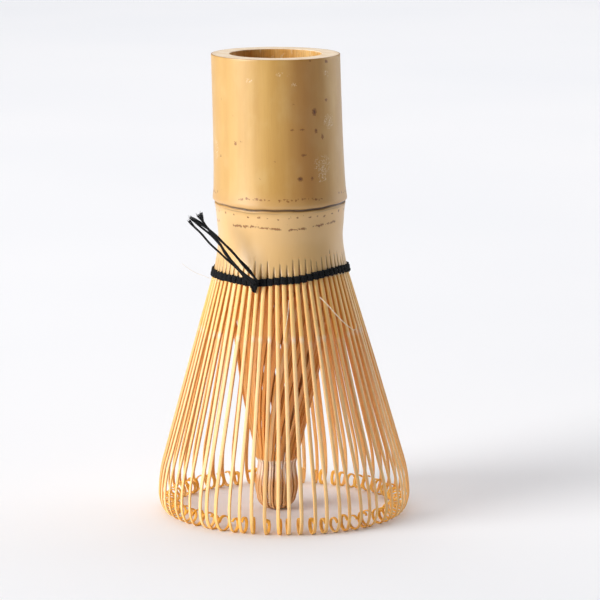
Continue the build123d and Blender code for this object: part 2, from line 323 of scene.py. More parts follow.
class Nodes:
    """Short calls for the nodes that the materials are made of."""

    def __init__(self, tree):
        self.tree = tree

    def link(self, source, socket):
        self.tree.links.new(source, socket)
        return source

    def attribute(self, name, vector=False):
        node = self.tree.nodes.new("ShaderNodeAttribute")
        node.attribute_name = name
        return node.outputs["Vector" if vector else "Fac"]

    def stretch(self, vector, scale):
        node = self.tree.nodes.new("ShaderNodeMapping")
        node.inputs["Scale"].default_value = scale
        self.link(vector, node.inputs["Vector"])
        return node.outputs[0]

    def noise(self, vector, scale, detail=3.0, roughness=0.55):
        node = self.tree.nodes.new("ShaderNodeTexNoise")
        node.inputs["Scale"].default_value = scale
        node.inputs["Detail"].default_value = detail
        node.inputs["Roughness"].default_value = roughness
        self.link(vector, node.inputs["Vector"])
        return node.outputs["Fac"]

    def cells(self, vector, scale):
        node = self.tree.nodes.new("ShaderNodeTexVoronoi")
        node.inputs["Scale"].default_value = scale
        self.link(vector, node.inputs["Vector"])
        return node.outputs["Distance"]

    def ramp(self, value, low, high, out_low=0.0, out_high=1.0):
        node = self.tree.nodes.new("ShaderNodeMapRange")
        node.interpolation_type = "SMOOTHSTEP"
        limits = {"From Min": low, "From Max": high, "To Min": out_low, "To Max": out_high}
        for socket, number in limits.items():
            node.inputs[socket].default_value = number
        self.link(value, node.inputs["Value"])
        return node.outputs["Result"]

    def math(self, operation, a, b):
        node = self.tree.nodes.new("ShaderNodeMath")
        node.operation = operation
        for socket, value in zip(node.inputs, (a, b)):
            if isinstance(value, (int, float)):
                socket.default_value = value
            else:
                self.link(value, socket)
        return node.outputs[0]

    def mix(self, factor, a, b):
        """Blends two colours, each a socket or an sRGB hex code."""
        node = self.tree.nodes.new("ShaderNodeMix")
        node.data_type = "RGBA"
        for socket, value in zip((node.inputs[0], node.inputs[6], node.inputs[7]), (factor, a, b)):
            if isinstance(value, str):
                socket.default_value = colour(value)
            else:
                self.link(value, socket)
        return node.outputs[2]

    def paint(self, base, codes):
        """Lays each colour over the base as far as the attribute of that name says."""
        for name, code in codes.items():
            base = self.mix(self.attribute(name), base, code)
        return base

    def bump(self, height, strength, distance):
        node = self.tree.nodes.new("ShaderNodeBump")
        node.inputs["Strength"].default_value = strength
        node.inputs["Distance"].default_value = distance
        self.link(height, node.inputs["Height"])
        return node.outputs[0]


def fibre_material(name):
    """A material, its nodes and shader, and the coordinate along the fibres that its grain follows."""
    material, tree, shader = node_tree(name)
    n = Nodes(tree)
    return material, n, shader, n.attribute("fibre", vector=True)


def bamboo_grain(n, fibre):
    """Fine fibres along the grain and broad soft variation, both from the fibre coordinate."""
    fine = n.noise(n.stretch(fibre, (3.2, 3.2, 0.09)), 2.0, 4.0, 0.6)
    broad = n.noise(n.stretch(fibre, (0.35, 0.35, 0.03)), 1.0, 2.0, 0.5)
    return fine, broad


def culm_skin():
    material, n, shader, fibre = fibre_material("bamboo_skin")
    fine, broad = bamboo_grain(n, fibre)
    base = n.mix(n.ramp(broad, 0.3, 0.7), "C69848", "D0A454")
    base = n.mix(n.ramp(fine, 0.35, 0.75, 0.0, 0.16), base, "AC7834")
    cloud = n.noise(n.stretch(fibre, (0.22, 0.22, 0.12)), 1.0, 3.0, 0.5)
    base = n.mix(n.ramp(cloud, 0.45, 0.75, 0.0, 0.3), base, "DDBF80")
    # The next line also lays in painted light and shade: a faint pale band on the key-lit side, and brown on
    # the sides turned from the key light.
    base = n.paint(base, {"scar": "CB9E60", "scraped_and_lit": "E8BE82", "painted_shade_brown": "AE6C28"})
    mottle = n.noise(n.stretch(fibre, (1.0, 1.0, 1.0)), 2.6, 3.0, 0.6)
    spots = n.math("ADD", n.attribute("stain"), n.ramp(mottle, 0.3, 0.7, -0.22, 0.22))
    base = n.mix(n.ramp(spots, 0.38, 0.62, 0.0, 0.9), base, "945C22")
    base = n.mix(n.ramp(spots, 0.85, 1.15, 0.0, 0.8), base, "4C280E")
    # Dark colour in the node groove: partly the sheath scar's own colour, partly painted shade in the
    # crease. At the stub slits it is painted shadow.
    base = n.paint(base, {"groove": "46301E"})
    scratch = n.noise(n.stretch(fibre, (1.0, 1.0, 0.8)), 1.3, 2.0, 0.5)
    ridge = n.math("ABSOLUTE", n.math("SUBTRACT", scratch, 0.5), 0.0)
    scuff = n.math("MULTIPLY", n.ramp(ridge, 0.0, 0.035, 0.85, 0.0), n.ramp(n.attribute("scuff"), 0.15, 0.5))
    base = n.mix(scuff, base, "E8D2B0")
    n.link(base, shader.inputs["Base Color"])
    rough = n.math("ADD", n.ramp(broad, 0.2, 0.8, 0.34, 0.46), n.math("MULTIPLY", scuff, 0.3))
    n.link(rough, shader.inputs["Roughness"])
    height = n.math("ADD", n.math("MULTIPLY", fine, 0.6), n.math("MULTIPLY", scuff, 0.8))
    n.link(n.bump(height, 0.25, 0.00008), shader.inputs["Normal"])
    shader.inputs["Specular IOR Level"].default_value = 0.6
    shader.inputs["Coat Weight"].default_value = 0.4
    shader.inputs["Coat Roughness"].default_value = 0.38
    return material


def culm_cut():
    """The sawn end: pale flesh with the darker dots of the fibre bundles, finer towards the skin."""
    material, n, shader, fibre = fibre_material("bamboo_cut_end")
    dots = n.cells(n.stretch(fibre, (1.0, 1.0, 0.05)), 1.7)
    fine = n.cells(n.stretch(fibre, (1.0, 1.0, 0.05)), 4.0)
    broad = n.noise(fibre, 0.3, 2.0)
    base = n.mix(n.ramp(broad, 0.3, 0.7), "F5E4CC", "EBD3B2")
    base = n.mix(n.ramp(dots, 0.0, 0.32, 0.45, 0.0), base, "B98752")
    base = n.mix(n.ramp(fine, 0.0, 0.35, 0.3, 0.0), base, "C49A66")
    base = n.paint(base, {"edge": "9A6A3C"})
    n.link(base, shader.inputs["Base Color"])
    n.link(n.bump(dots, 0.3, 0.0001), shader.inputs["Normal"])
    shader.inputs["Roughness"].default_value = 0.7
    return material


def culm_bore():
    material, n, shader, fibre = fibre_material("bamboo_bore")
    fine, broad = bamboo_grain(n, fibre)
    base = n.mix(n.ramp(broad, 0.3, 0.7), "D9A04A", "E8BF78")
    base = n.mix(n.ramp(fine, 0.4, 0.7, 0.0, 0.5), base, "A86E2C")
    flake = n.noise(n.stretch(fibre, (0.6, 0.6, 0.4)), 1.6, 4.0, 0.6)
    base = n.mix(n.ramp(flake, 0.55, 0.75, 0.0, 0.6), base, "F0DDB4")
    n.link(base, shader.inputs["Base Color"])
    n.link(n.bump(n.math("ADD", fine, flake), 0.4, 0.0002), shader.inputs["Normal"])
    shader.inputs["Roughness"].default_value = 0.62
    return material


def tine_bamboo(name, skin, skin_alt, flesh, shaved, tip):
    """Split bamboo: skin on the outer face, orange flesh on the cut sides, paler where it is shaved."""
    material, n, shader, fibre = fibre_material(name)
    fine, broad = bamboo_grain(n, fibre)
    base = n.mix(n.ramp(broad, 0.3, 0.7), skin, skin_alt)
    base = n.paint(base, {"shaved": shaved, "flesh": flesh, "tip": tip})
    base = n.mix(n.ramp(fine, 0.4, 0.75, 0.0, 0.3), base, "D48E38")
    tone = n.attribute("tone")
    base = n.mix(n.ramp(tone, 0.5, 1.0, 0.0, 0.35), base, "DC963E")
    base = n.mix(n.ramp(tone, 0.0, 0.5, 0.3, 0.0), base, "FBE6BC")
    base = n.paint(base, {"cut": "F6E3D2"})
    n.link(base, shader.inputs["Base Color"])
    n.link(n.ramp(fine, 0.2, 0.8, 0.42, 0.58), shader.inputs["Roughness"])
    n.link(n.bump(fine, 0.3, 0.00005), shader.inputs["Normal"])
    shader.inputs["Specular IOR Level"].default_value = 0.4
    shader.inputs["Subsurface Weight"].default_value = 0.2
    shader.inputs["Subsurface Radius"].default_value = (1.0, 0.65, 0.3)
    shader.inputs["Subsurface Scale"].default_value = 0.7 * MM
    return material


def thread_cotton():
    material, n, shader, fibre = fibre_material("black_cotton")
    strands = n.noise(n.stretch(fibre, (1.6, 2.6, 1.0)), 2.2, 4.0, 0.65)
    base = n.mix(n.ramp(strands, 0.4, 0.75), "040506", "1C2026")
    n.link(base, shader.inputs["Base Color"])
    n.link(n.bump(strands, 0.6, 0.00008), shader.inputs["Normal"])
    shader.inputs["Roughness"].default_value = 0.75
    shader.inputs["Sheen Weight"].default_value = 0.05
    shader.inputs["Specular IOR Level"].default_value = 0.3
    shader.inputs["Sheen Roughness"].default_value = 0.4
    shader.inputs["Sheen Tint"].default_value = (0.75, 0.8, 0.9, 1.0)
    return material


def loose_fibre():
    material, n, shader, fibre = fibre_material("loose_fibre")
    streak = n.noise(n.stretch(fibre, (1.0, 1.0, 1.0)), 3.0, 3.0)
    n.link(n.mix(n.ramp(streak, 0.3, 0.7), "F6EBD8", "E4C9A0"), shader.inputs["Base Color"])
    shader.inputs["Roughness"].default_value = 0.5
    return material


# ---------------------------------------------------------------- culm
def gap_azimuths():
    """Where the slits are: nearly even, as a hand splits them."""
    jitter = random.Random(5)
    return [PITCH * i + jitter.uniform(-0.35, 0.35) for i in range(TINES)]


GAPS = gap_azimuths()
EDGES = GAPS + [GAPS[0] + 360.0]


def stains(azimuth, z, radius):
    """Brown specks and the two rows of dashes at the node, as a height that the material thresholds."""
    value = np.zeros(azimuth.shape)

    def spot(at, height, width, tall, strength):
        across = arc_between(azimuth, at, radius)
        np.maximum(value, strength * np.exp(-(across / width) ** 2 - ((z - height) / tall) ** 2), out=value)

    # the larger specks of the front: azimuth, height above the node, half width, half height, strength
    front = [
        (-55, 23.0, 0.65, 0.85, 1.3), (-54, 18.5, 0.5, 0.6, 1.1), (-47, 17.0, 0.5, 0.75, 0.85),
        (-41, 25.5, 0.5, 0.45, 0.9), (-39, 34.5, 0.6, 0.4, 1.2), (-58, 35.0, 0.4, 0.3, 0.9),
        (-77, 19.0, 0.5, 0.3, 1.0), (-68, 19.0, 0.9, 0.3, 0.95), (-67, 13.0, 0.7, 0.4, 1.0),
        (-71, 7.5, 0.75, 0.55, 1.3), (-60, 7.5, 0.45, 0.5, 1.0), (-75, 25.0, 0.5, 0.4, 0.65),
        (-130, 15.5, 0.5, 0.55, 0.95), (-123, 16.0, 0.6, 0.35, 0.6), (-151, 12.0, 0.9, 0.35, 0.65),
        (-132, 22.0, 0.5, 0.35, 0.6), (-93, 11.5, 0.5, 0.4, 0.55), (-106, 7.5, 0.6, 0.3, 0.55),
    ]
    for at, above_node, width, tall, strength in front:
        spot(at, NODE_Z + above_node, width, tall, strength)
    # a few more round the back, and fine ones close below the node
    scatter = random.Random(23)
    for _ in range(26):
        at = scatter.uniform(-30.0, 215.0)
        spot(at, scatter.uniform(77.0, 108.0), scatter.uniform(0.14, 0.36), scatter.uniform(0.16, 0.42),
             scatter.uniform(0.5, 1.1))
    for _ in range(90):
        spot(scatter.uniform(0.0, 360.0), scatter.uniform(71.0, 74.2), scatter.uniform(0.08, 0.16),
             scatter.uniform(0.08, 0.16), 0.62)
    # rows of dashes along the node: height, first azimuth, last azimuth, dashes
    rows = [
        (70.75, -137.0, -90.0, 25), (70.4, -83.0, -66.0, 9), (70.9, -60.0, -31.0, 13),
        (70.8, -10.0, 95.0, 34), (70.6, 110.0, 200.0, 26), (77.35, -128.0, -97.0, 9),
        (77.7, -92.0, -82.0, 4), (77.3, -84.0, -50.0, 11), (77.4, -30.0, 120.0, 30),
        (77.5, 140.0, 205.0, 14), (73.1, -125.0, -40.0, 9), (73.1, -40.0, 230.0, 24),
    ]
    for row_z, first, last, count in rows:
        for number in range(count):
            at = first + (last - first) * (number + scatter.uniform(0.2, 0.8)) / count
            rise = 0.18 * sin(radians(at * 9.0)) + scatter.uniform(-0.16, 0.16) + 0.3 * cos(radians(2 * at))
            spot(at, row_z + rise, scatter.uniform(0.2, 0.6), scatter.uniform(0.2, 0.38),
                 scatter.uniform(0.72, 1.15))
    return value


def scuffs(azimuth, z, radius):
    """Rubbed patches, from 0 to 1: azimuth, height above the node, half width, half height."""
    patches = [
        (-38, 20.5, 1.8, 1.7), (-48, 10.5, 2.4, 2.2), (-50, 7.5, 1.6, 1.1), (-40, 31.5, 0.9, 0.9),
        (-74, 29.5, 0.7, 0.5), (-84, 32.0, 1.5, 0.5), (-115, 30.5, 1.0, 0.5), (120, 20.5, 1.7, 2.9),
        (35, 9.5, 1.9, 1.7), (200, 13.5, 1.2, 2.4),
    ]
    value = np.zeros(azimuth.shape)
    for at, above_node, width, tall in patches:
        away = (arc_between(azimuth, at, radius) / width) ** 2 + ((z - NODE_Z - above_node) / tall) ** 2
        value = np.maximum(value, np.exp(-away ** 2))
    return value


def painted_shade_brown(azimuth, z):
    """How far brown painted shade is laid on the skin above the node, on the sides turned away from the key
    light: most on the front right near the specks, a little at the back.
    """
    front = np.exp(-((azimuth - 297.0) / 22.0) ** 2)
    back = 0.5 * np.exp(-((azimuth - 70.0) / 30.0) ** 2)
    return (0.6 * np.maximum(front, back) + 0.1 * ripple(azimuth, z, 41, 0.05)) * smoothstep(75.0, 78.5, z)


def node_rise(azimuth):
    """The groove is not level: it rides up at the sides and has small kinks where the sheath grew."""
    a = np.radians(azimuth)
    kinks = 0.06 * np.sin(7.0 * a) + 0.04 * np.sin(17.0 * a + 1.0) + 0.06 * np.tanh(14.0 * np.sin(a + 1.95))
    return 0.26 + 0.3 * np.cos(2.0 * a) + kinks


def outer_radius(azimuth, z):
    """Skin radius, with the unevenness of a grown culm. The groove wanders a little and varies in depth."""
    wander = node_rise(azimuth)
    near_node = np.exp(-((z - NODE_Z) / 2.2) ** 2)
    face = smooth_through(OUTER_FACE, z - wander * near_node)
    swell = 0.05 * ripple(azimuth, z, 3, 0.05) * smoothstep(60.0, 66.0, z)
    knuckle = 0.05 * near_node * ripple(azimuth * 3.0, z, 8, 0.2)
    return face + swell + knuckle


def culm_rows():
    """Heights of the rings down the skin: close together at the rim, the node and the slits."""
    heights = [TOP_Z - 0.16]
    z = TOP_Z - 0.45
    while z > 64.6:
        heights.append(z)
        z -= 0.13 if abs(z - NODE_Z) < 1.1 else 0.3
    return heights


SKIN, SAWN, HOLLOW, SPLIT = range(4)  # the culm's four materials
MARKS = ("stain", "groove", "scar", "scraped_and_lit", "painted_shade_brown", "scuff", "edge")
SCRAPED = 0.75  # how far the skin below the node is scraped pale


def make_culm():
    """Skin, sawn rim, hollow, node floor and the wall that is slit into stubs, as one closed mesh."""
    columns_per_tine = 8
    columns = TINES * columns_per_tine
    share = np.linspace(0.0, 1.0, columns_per_tine + 1)[:-1]
    azimuth = np.concatenate([EDGES[i] + (EDGES[i + 1] - EDGES[i]) * share for i in range(TINES)])
    points, faces, zones = [], [], []
    data = {key: [] for key in ("fibre",) + MARKS}

    def ring(radius, z, marks=None):
        radius = np.broadcast_to(radius, azimuth.shape)
        z = np.broadcast_to(np.asarray(z, float), azimuth.shape)
        start = len(points)
        x = radius * np.cos(np.radians(azimuth)) + axis_x(z)
        y = radius * np.sin(np.radians(azimuth))
        points.extend(np.stack([x, y, z], axis=1).tolist())
        data["fibre"].extend(np.stack([x, y, z], axis=1).tolist())
        for key in MARKS:
            data[key].extend(np.broadcast_to((marks or {}).get(key, 0.0), azimuth.shape).tolist())
        return start

    def join(a, b, zone, inward=False):
        for i in range(columns):
            j = (i + 1) % columns
            faces.append([a + i, a + j, b + j, b + i] if inward else [a + i, b + i, b + j, a + j])
            zones.append(zone)

    def skin_ring(z):
        radius = outer_radius(azimuth, z)
        above_groove = z - NODE_Z - node_rise(azimuth)
        # how dark the groove line is painted: strongest towards the shaded front right, as painted shade in
        # the crease
        depth = 0.72 + 0.33 * np.cos(np.radians(azimuth + 50.0)) + 0.22 * ripple(azimuth * 5.0, 0.0, 31, 0.0)
        width = 0.15 + 0.1 * np.clip(depth, 0.0, 1.2)
        first = 1.3 * depth * np.exp(-(above_groove / width) ** 2)
        second = 0.5 * np.exp(-((above_groove + 0.72) / 0.13) ** 2)
        second = second * (0.55 + ripple(azimuth * 4.0, 0.0, 33, 0.0))
        below_node = SCRAPED * smoothstep(74.6, 72.6, z - node_rise(azimuth))
        marks = {
            "stain": stains(azimuth, z, radius),
            "groove": np.clip(np.maximum(first, second), 0.0, 0.95),
            "scar": 0.85 * np.exp(-((z - 75.4) / 2.4) ** 2) + np.zeros(azimuth.shape),
            # Scraped pale below the node, and a faint pale band of painted light round azimuth 222, on the
            # side the key light faces.
            "scraped_and_lit": np.maximum(below_node, 0.24 * np.exp(-((azimuth - 222.0) / 28.0) ** 2)),
            # brown painted shade on the sides turned away from the key light
            "painted_shade_brown": painted_shade_brown(azimuth, z),
            "scuff": scuffs(azimuth, z, radius),
        }
        return ring(radius, z, marks)

    # the hollow, from its floor up to the rim, then over the rim and down the skin
    bore = BORE_RADIUS + 0.12 * np.cos(np.radians(azimuth) * 2.0 + 0.8)
    bore = bore + 0.04 * ripple(azimuth * 4.0, 0.0, 4, 0.0)
    floor = ring(0.35, DIAPHRAGM_TOP + 0.9)
    faces.append([floor + i for i in range(columns)])
    zones.append(HOLLOW)
    last = floor
    for radius, z in ((3.0, 0.85), (6.0, 0.55), (8.5, 0.3), (9.8, 0.5)):
        here = ring(radius + 0.1 * ripple(azimuth, radius, 6, 0.3), DIAPHRAGM_TOP + z)
        join(last, here, HOLLOW)
        last = here
    for z in np.linspace(DIAPHRAGM_TOP + 1.6, TOP_Z - 0.12, 16):
        here = ring(bore + 0.06 * ripple(azimuth, z, 12, 0.3), z)
        join(last, here, HOLLOW)
        last = here
    skin_top = outer_radius(azimuth, TOP_Z)
    for share_out, z, edge in ((0.03, 0.0, 0.0), (0.35, 0.0, 0.0), (0.7, 0.0, 0.0), (0.92, 0.0, 0.15),
                               (0.965, -0.01, 0.9), (0.99, -0.06, 0.9)):
        here = ring(bore + (skin_top - bore) * share_out, TOP_Z + z, {"edge": edge})
        join(last, here, SAWN)
        last = here
    for z in culm_rows():
        here = skin_ring(z)
        join(last, here, SKIN)
        last = here
    lowest_skin = last

    # inside below the node: the underside of its floor and the wall down to the slits
    inner = ring(0.35, DIAPHRAGM_BOTTOM - 0.3)
    faces.append([inner + i for i in range(columns)][::-1])
    zones.append(HOLLOW)
    last_inner = inner
    for radius, z in ((5.0, DIAPHRAGM_BOTTOM - 0.2), (9.6, DIAPHRAGM_BOTTOM), (10.6, 71.0), (10.8, 66.5),
                      (12.4, 64.9), (13.3, 64.2)):
        here = ring(radius + 0.05 * ripple(azimuth, z, 14, 0.3), z)
        join(last_inner, here, HOLLOW, inward=True)
        last_inner = here

    # the ring of slit tips: the wall is whole above it and sixty-four stubs below it
    tip_z = np.array([band_z(g) + 4.3 + 0.7 * sin(7.3 * i) + 0.5 * sin(2.9 * i) for i, g in enumerate(GAPS)])
    tips = np.concatenate([tip_z[i] + (np.roll(tip_z, -1)[i] - tip_z[i]) * share for i in range(TINES)])
    outer_tip = skin_ring(tips)
    join(lowest_skin, outer_tip, SKIN)
    inner_tip = ring(outer_radius(azimuth, tips) - 1.6, tips)
    join(last_inner, inner_tip, HOLLOW, inward=True)

    across = np.linspace(-1.0, 1.0, columns_per_tine + 1)
    rows = 9
    for t in range(TINES):
        left, right = EDGES[t], EDGES[t + 1]
        middle = (left + right) / 2
        ids_outer = [outer_tip + t * columns_per_tine + c for c in range(columns_per_tine)]
        ids_outer.append(outer_tip + (t + 1) % TINES * columns_per_tine)
        ids_inner = [i - outer_tip + inner_tip for i in ids_outer]
        previous = ids_outer + ids_inner[::-1]
        for row in range(1, rows + 1):
            down = row / rows
            top_here = tip_z[t] + (tip_z[(t + 1) % TINES] - tip_z[t]) * (across + 1) / 2
            z = top_here + (STUB_END_Z - top_here) * down
            open_share = down ** 1.7
            radius = outer_radius(middle, z)
            full = (right - left) / 2
            final = degrees(TINE_WIDTH * 0.5 / 15.9)
            half = full + (final - full) * open_share
            at = middle + across * half
            rounding = 0.16 * min(1.0, down / 0.4) * np.abs(across) ** 6
            thickness = 1.6 + (TINE_THICKNESS - 1.6) * smoothstep(0.0, 0.8, down)
            start = len(points)
            for side_radius, flesh in ((radius - rounding, 0.0), (radius - thickness, 1.0)):
                x = side_radius * np.cos(np.radians(at)) + axis_x(z)
                y = side_radius * np.sin(np.radians(at))
                block = np.stack([x, y, z], axis=1)
                if flesh:
                    block = block[::-1]
                points.extend(block.tolist())
                data["fibre"].extend(block.tolist())
                # painted shadow in the slits: the stub edges are darkened with the groove colour
                painted_slit_shadow = 0.7 * min(1.0, down / 0.12) * np.abs(across) ** 10
                for key in MARKS:
                    value = {"scraped_and_lit": SCRAPED, "groove": painted_slit_shadow}.get(key, 0.0)
                    data[key].extend(np.broadcast_to(value, across.shape).tolist())
            loop = list(range(start, start + 2 * len(across)))
            for i in range(len(loop)):
                j = (i + 1) % len(loop)
                faces.append([previous[i], loop[i], loop[j], previous[j]])
                zones.append(SKIN if i < columns_per_tine else SPLIT)
            previous = loop
        faces.append(previous[::-1])
        zones.append(SPLIT)
    materials = [culm_skin(), culm_cut(), culm_bore(), MATERIALS["tine"]]
    return new_piece("culm", points, faces, materials, data, zones, sharp=32.0)


# ---------------------------------------------------------------- tines
SECTION = [  # across in half widths, and depth in thicknesses, round a tine's section
    (-1.0, 0.36), (-0.94, 0.1), (-0.78, 0.0), (0.0, -0.05), (0.78, 0.0), (0.94, 0.1), (1.0, 0.36),
    (1.0, 0.8), (0.86, 1.0), (0.0, 1.0), (-0.86, 1.0), (-1.0, 0.8),
]


def follow(start, heading, moves):
    """Points, headings and lengths along a bent strip's outer face, in the plane of radius and height."""
    point = np.array(start, float)
    places, headings = [point], [heading]
    for kind, size, turn, steps in moves:
        half_turn = turn / steps / 2
        length = size / steps if kind == "line" else 2 * size * sin(radians(abs(half_turn)))
        for _ in range(steps):
            middle = radians(heading - half_turn)
            point = point + np.array([sin(middle), -cos(middle)]) * length
            heading -= 2 * half_turn
            places.append(point)
            headings.append(heading)
    places = np.array(places)
    lengths = np.concatenate([[0], np.cumsum(np.linalg.norm(np.diff(places, axis=0), axis=1))])
    return places, np.array(headings), lengths


def outer_tine(builder, index, habit):
    """One outer tine from under the thread to the end of its curl, with its own small habits."""
    middle = (EDGES[index] + EDGES[index + 1]) / 2
    slope = TINE_SLOPE + habit["slope"]
    lead_z = WIDEST_Z + LEAD_BEND_RADIUS * sin(radians(slope))
    lead_r = WIDEST_RADIUS - LEAD_BEND_RADIUS * (1 - cos(radians(slope)))
    stem = (STUB_END_Z - 0.05 - lead_z) / cos(radians(slope))
    top_r = lead_r - stem * sin(radians(slope))
    curl = CURL_RADIUS * habit["curl"]
    places, headings, lengths = follow(
        (top_r, STUB_END_Z - 0.05), slope,
        [("line", stem - 0.01, 0, 44), ("arc", LEAD_BEND_RADIUS, slope, 8),
         ("arc", CURL_BEND_RADIUS, CURL_BEND_TURN, 7), ("arc", curl, 180.0, 18),
         ("arc", curl * habit["close"], habit["turn"], 15)],
    )
    # the stem meets the stub under the thread, whatever its slope
    top_gap = float(outer_radius(middle, STUB_END_Z - 0.05)) - top_r
    places[:, 0] += top_gap * (1 - smoothstep(0.0, 26.0, lengths))
    sink = places[:, 1].min()
    places[:, 1] -= sink * smoothstep(20.0, 50.0, lengths)
    z = places[:, 1]
    shaved = (z < SHAVED_TOP + habit["step"]).astype(float)
    shaved[lengths > 30.0] = 1.0
    thinning = [TINE_THICKNESS, 0.7, 0.5, CURL_THICKNESS, 0.3]
    thickness = np.interp(lengths, [0.0, 16.0, 46.0, 60.0, 74.0], thinning) - 0.05 * shaved
    width = TINE_WIDTH * habit["width"] * (1.02 - 0.09 * shaved)
    width = width * np.interp(lengths, [0, 30, 50, 78], [1, 0.98, 0.9, 0.84])
    width = width * np.where(lengths > lengths[-1] - 0.5, 0.8, 1.0)
    drift = habit["drift"] * smoothstep(4.0, 58.0, lengths)
    drift = drift + habit["bow"] * np.sin(pi * np.clip(lengths / 56.0, 0, 1))
    swing = np.radians(habit["swing"] * smoothstep(44.0, 60.0, lengths))
    roll = np.radians(habit["roll"] * smoothstep(10.0, 50.0, lengths))
    radial, sideways = radial_and_sideways(middle)
    pivot_r = WIDEST_RADIUS - 0.6
    rows, flesh = [], []
    outward = np.stack([np.cos(np.radians(headings)), np.sin(np.radians(headings))], axis=1)
    for k in range(len(lengths)):
        for across, depth in SECTION:
            a = across * width[k] / 2
            d = (depth - 0.5) * thickness[k]
            turned_a = a * cos(roll[k]) - d * sin(roll[k])
            turned_d = a * sin(roll[k]) + d * cos(roll[k]) + 0.5 * thickness[k]
            r = places[k, 0] - outward[k, 0] * turned_d
            h = places[k, 1] - outward[k, 1] * turned_d
            off = r - pivot_r
            r_turned = pivot_r + off * cos(swing[k]) - turned_a * sin(swing[k])
            side = off * sin(swing[k]) + turned_a * cos(swing[k])
            rows.append(radial * r_turned + sideways * (side + drift[k]) + UP * h)
            flesh.append(1.0 if depth > 0.3 else (0.55 if depth > 0.05 else 0.0))
    rows = np.array(rows)
    rows[:, 0] += axis_x(np.clip(rows[:, 2], 0, None))
    rows[:, 2] = np.maximum(rows[:, 2], 0.0)

    def per_row(values):
        return np.repeat(values, len(SECTION))

    across_mm = np.tile([s[0] * 0.5 for s in SECTION], len(lengths))
    depth_mm = np.tile([s[1] * 0.6 for s in SECTION], len(lengths))
    fibre = np.stack([across_mm + index * 3.7, depth_mm + index * 1.3, per_row(lengths)], axis=1)
    cut = np.exp(-((z - SHAVED_TOP - habit["step"] + 0.15) / 0.3) ** 2) * (lengths < 30.0) * habit["cut"]
    builder.add(
        rows, ring_faces(len(lengths), len(SECTION)), fibre=fibre,
        flesh=np.array(flesh) * per_row(np.interp(lengths, [0, 12, 40, 60], [0.75, 0.7, 0.45, 0.25])),
        shaved=per_row(shaved * np.interp(lengths, [0, 25, 50, 60], [0.0, 0.8, 0.5, 0.2])),
        tip=per_row(smoothstep(54.0, 66.0, lengths) * 0.85),
        tone=per_row(np.full(len(lengths), habit["tone"])),
        cut=per_row(cut) * (1.0 - 0.6 * np.array(flesh)),
    )


def tine_habits():
    """How each tine differs from its neighbours: spacing, slope, curl and how far the curl has turned."""
    habits = []
    for i in range(TINES):
        habits.append({
            "slope": rng.gauss(0.0, 0.22),
            "curl": rng.uniform(0.92, 1.05),
            "close": rng.uniform(0.8, 0.95),
            "turn": rng.uniform(100.0, 145.0),
            "step": rng.uniform(-0.45, 0.45),
            "width": rng.uniform(0.9, 1.08),
            "drift": rng.gauss(0.0, 0.34),
            "bow": rng.gauss(0.0, 0.14),
            "swing": rng.gauss(0.0, 6.0),
            "roll": rng.gauss(0.0, 6.0),
            "tone": min(1.0, max(0.0, rng.gauss(0.5, 0.2))),
            "cut": rng.uniform(0.35, 0.9),
        })
    return habits


def make_outer_tines():
    habits = tine_habits()
    per_group = TINES // OUTER_GROUPS
    for group in range(OUTER_GROUPS):
        builder = Builder()
        for i in range(per_group):
            outer_tine(builder, group * per_group + i, habits[group * per_group + i])
        number = f"{group + 1:02d}"
        piece = builder.piece(f"outer_tine_set_{number}", MATERIALS["tine"], sharp=50.0)
        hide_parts(f"outer_tines_{number}")
        hinge = joint_place(f"outer_flex_{number}")
        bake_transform(piece, "root", f"outer_group_{number}",
                 start=(hinge[0], hinge[1], hinge[2] + 1.2 * MM),
                 end=(hinge[0], hinge[1], hinge[2] - 5.0 * MM))


def joint_place(name):
    return [j for j in frame["joints"] if j["name"] == name][0]["pos_m"]


INNER_SECTION = [  # as SECTION, with the hollow back of a thin inner tine
    (-1.0, 0.5), (-0.85, 0.06), (0.0, -0.06), (0.85, 0.06), (1.0, 0.5), (0.8, 0.95), (0.0, 1.0),
    (-0.8, 0.95),
]
CORE_ROWS = 42  # rows of an inner tine above the shaved step
HOOK_GROWTH = 1.45


